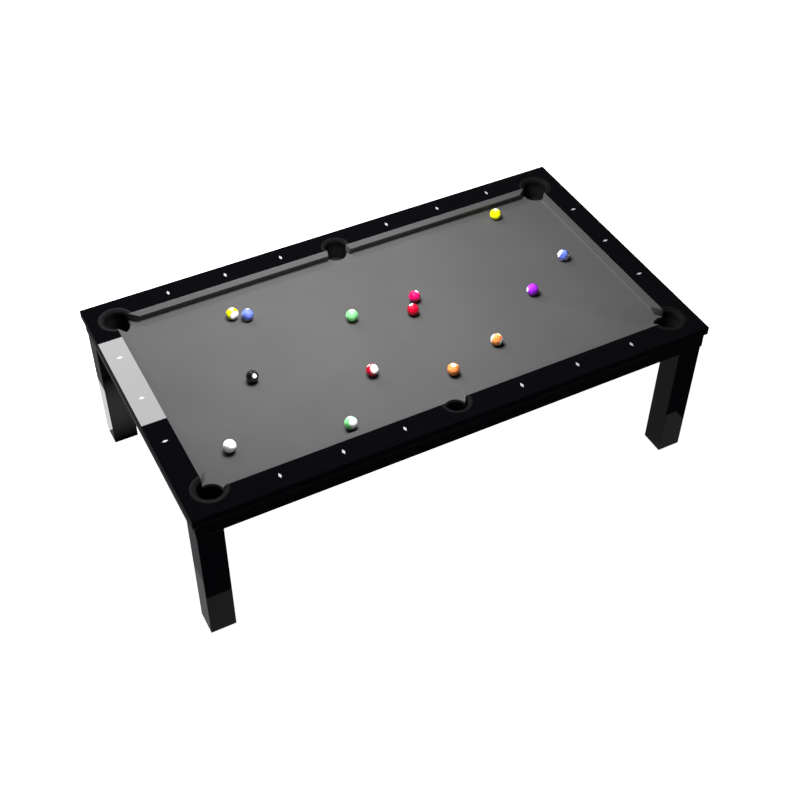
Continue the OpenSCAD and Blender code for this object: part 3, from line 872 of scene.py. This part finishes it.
def build_camera():
    data = bpy.data.cameras.new("camera")
    data.lens = LENS
    data.sensor_width = SENSOR
    data.shift_x, data.shift_y = SHIFT
    data.clip_end = FAR_CLIP
    camera = new_object("camera", data)
    camera.location = CAMERA_AT
    camera.rotation_euler = CAMERA_AIM.to_track_quat("-Z", "Y").to_euler()
    bpy.context.scene.camera = camera


def view_basis():
    """Right, up and towards the viewer, as the columns of a matrix."""
    right = CAMERA_AIM.cross(Vector((0, 0, 1))).normalized()
    up = right.cross(CAMERA_AIM).normalized()
    return Matrix((right, up, -CAMERA_AIM.normalized())).transposed()


def stage_plane(name, low, high, z, made):
    """A level rectangle that belongs to the stage."""
    plan = [low, (high[0], low[1]), high, (low[0], high[1])]
    obj = new_object(name, mesh_from(name, [(*corner, z) for corner in plan], [(0, 1, 2, 3)]))
    obj.data.materials.append(made)
    return obj


def build_floor():
    made = material(
        "pale_floor", Base_Color=FLOOR_PALE, Roughness=0.9,
        Emission_Color=WHITE_LIGHT, Emission_Strength=1.0)[0]
    floor = stage_plane(
        "floor", (-FLOOR_HALF, -FLOOR_HALF), (FLOOR_HALF, FLOOR_HALF), 0, made)
    floor.visible_glossy = False


def build_card(name, low, high, radiance, faded):
    """A glowing card lying on the floor, seen only in reflections; a faded one is dark at its front
    and back edges, painted shade under the table.
    """
    made = bpy.data.materials.new(name)
    made.use_nodes = True
    tree = made.node_tree
    glow = node(tree, "Emission", {"Color": WHITE_LIGHT, "Strength": radiance})
    tree.links.new(glow.outputs[0], tree.nodes["Material Output"].inputs["Surface"])
    # The fade is painted shade: the reflected floor under the table darker towards its front and
    # back edges
    if faded:
        spot = node(tree, "TexCoord").outputs["Generated"]
        way = node(tree, "SeparateXYZ", {0: spot}).outputs["Y"]
        swell = math_node(tree, "SINE", math_node(tree, "MULTIPLY", way, math.pi))
        level = math_node(tree, "MULTIPLY", swell, radiance)
        tree.links.new(level, glow.inputs["Strength"])
    obj = stage_plane(name, low, high, CARD_Z, made)
    for ray in ("camera", "diffuse", "shadow", "transmission", "volume_scatter"):
        setattr(obj, "visible_" + ray, False)


def area_light(name, at, size, aim, radiance, glossy):
    data = bpy.data.lights.new(name, "AREA")
    data.shape = "RECTANGLE"
    data.size, data.size_y = size
    data.energy = radiance * math.pi * size[0] * size[1]
    light = new_object(name, data)
    light.location = at
    light.rotation_euler = (Vector(aim) - Vector(at)).to_track_quat("-Z", "Y").to_euler()
    light.visible_glossy = glossy
    light.visible_camera = False
    return light


def fill_balls(names):
    """A soft fill from the viewer's side that falls on the balls alone."""
    lit = bpy.data.collections.new("balls")
    for name in names:
        lit.objects.link(bpy.data.objects[name])
    area_light("fill", *FILL).light_linking.receiver_collection = lit


def build_world():
    """White to the camera, dim overhead and a little brighter low down behind in reflections."""
    world = bpy.data.worlds.new("studio")
    bpy.context.scene.world = world
    world.use_nodes = True
    tree = world.node_tree
    tree.nodes.clear()
    way = node(tree, "TexCoord").outputs["Generated"]
    lean = node(tree, "VectorMath", {0: way, 1: BRIGHT_SIDE}, operation="DOT_PRODUCT")
    low = spread(tree, lean.outputs["Value"], LOW_DIM, LOW_BRIGHT, start=-0.6, stop=0.7)
    up = node(tree, "SeparateXYZ", {0: way}).outputs["Z"]
    mixed = node(tree, "Mix", {
        "Factor": spread(tree, up, 0, 1, start=-HORIZON, stop=HORIZON), "A": low, "B": OVERHEAD},
        data_type="FLOAT")
    gloss = node(tree, "Background", {"Color": GLOSS_TINT, "Strength": mixed.outputs["Result"]})
    ambient = node(tree, "Background", {"Color": WHITE_LIGHT, "Strength": AMBIENT})
    white = node(tree, "Background", {"Color": WHITE_LIGHT, "Strength": 1.0})
    rays = node(tree, "LightPath")
    inner = node(tree, "MixShader", {
        0: rays.outputs["Is Glossy Ray"], 1: ambient.outputs[0], 2: gloss.outputs[0]})
    outer = node(tree, "MixShader", {
        0: rays.outputs["Is Camera Ray"], 1: inner.outputs[0], 2: white.outputs[0]})
    out = node(tree, "OutputWorld")
    tree.links.new(outer.outputs[0], out.inputs["Surface"])


def build_stage():
    build_floor()
    build_world()
    for name, values in CARDS.items():
        build_card(name, *values)
    area_light("key", *KEY)
    area_light("top", *TOP_LIGHT)
    bpy.context.scene.view_settings.view_transform = "Standard"


# ---------- the scene ----------

build_camera()
build_stage()
finish_cad_nodes()
build_bed_cloth()
for corner, signs in CORNERS.items():
    build_cushion("cushion_" + corner, 0, signs[1])
build_cushion("cushion_left", 1, -1)
build_cushion("cushion_right", 1, 1)
for pocket in [*CORNERS, *SIDES]:
    build_liner(pocket)
for ball in BALLS:
    build_ball(ball, view_basis())
fill_balls([ball + "_polished" for ball in BALLS])
